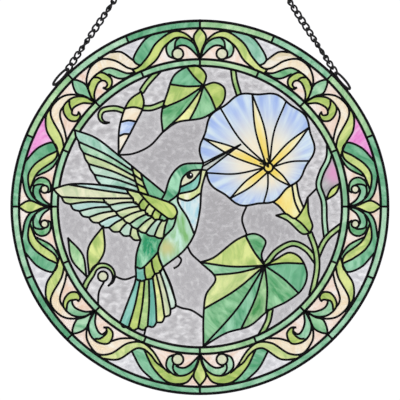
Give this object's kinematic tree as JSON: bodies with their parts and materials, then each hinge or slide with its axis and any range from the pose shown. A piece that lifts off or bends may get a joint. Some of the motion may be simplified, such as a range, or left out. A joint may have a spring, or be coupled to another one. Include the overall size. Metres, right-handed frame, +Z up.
{
  "type": "stained glass window panel",
  "caption": "Round stained-glass window panel with a hummingbird at a trumpet flower inside a leaf-scroll border, in black lead, hung by chains from a ring.",
  "frame": {"origin": "inside top of the hanging ring, where a hook bears", "axes": "+Z up along the hang line, -Y towards the viewer of the picture, +X to the viewer's right"},
  "size_m": [0.508, 0.007, 0.7238],
  "materials": {
    "chain_wire": "black-coated wire, satin",
    "glass_blue": "streaky coloured art glass",
    "glass_clear": "clear wavy glass with a hammered face",
    "glass_green": "streaky coloured art glass",
    "glass_lime": "streaky coloured art glass",
    "glass_mint": "streaky coloured art glass",
    "glass_peach": "streaky coloured art glass",
    "glass_yellow": "streaky coloured art glass",
    "lead": "black patina over solder, satin"
  },
  "bodies": {
    "root": {"chain_left": "chain_wire", "chain_right": "chain_wire", "glass_belly": "glass_yellow", "glass_big_leaf_left": "glass_green", "glass_big_leaf_right": "glass_green", "glass_big_leaf_under": "glass_green", "glass_bill": "glass_clear", "glass_border_1": "glass_peach", "glass_border_2": "glass_peach", "glass_border_3": "glass_peach", "glass_border_4": "glass_peach", "glass_border_5": "glass_peach", "glass_border_6": "glass_peach", "glass_border_7": "glass_peach", "glass_border_8": "glass_peach", "glass_breast": "glass_blue", "glass_bud": "glass_blue", "glass_calyx": "glass_lime", "glass_flower_tube": "glass_yellow", "glass_ground_above_bird": "glass_clear", "glass_ground_below_tail": "glass_clear", "glass_ground_between_wings": "glass_clear", "glass_ground_bottom": "glass_clear", "glass_ground_by_bud": "glass_clear", "glass_ground_by_calyx": "glass_clear", "glass_ground_by_leaf": "glass_clear", "glass_ground_by_plant": "glass_clear", "glass_ground_by_tail": "glass_clear", "glass_ground_far_right": "glass_clear", "glass_ground_left": "glass_clear", "glass_ground_lower_left": "glass_clear", "glass_ground_lower_right": "glass_clear", "glass_ground_middle": "glass_clear", "glass_ground_right": "glass_clear", "glass_ground_upper_left": "glass_clear", "glass_ground_upper_right": "glass_clear", "glass_head": "glass_green", "glass_inner_ring_lower": "glass_green", "glass_inner_ring_upper": "glass_green", "glass_lower_wing": "glass_mint", "glass_outer_ring_lower": "glass_green", "glass_outer_ring_upper": "glass_green", "glass_petal_left": "glass_blue", "glass_petal_low_right": "glass_blue", "glass_petal_right": "glass_blue", "glass_petal_top": "glass_blue", "glass_petal_under": "glass_blue", "glass_rump": "glass_green", "glass_tail": "glass_mint", "glass_throat": "glass_lime", "glass_upper_leaf": "glass_lime", "glass_upper_wing": "glass_mint", "glass_wing_root": "glass_green", "hanging_ring": "chain_wire", "leadwork": "lead", "loop_left": "chain_wire", "loop_right": "chain_wire", "rim": "lead"}
  },
  "joints": []
}
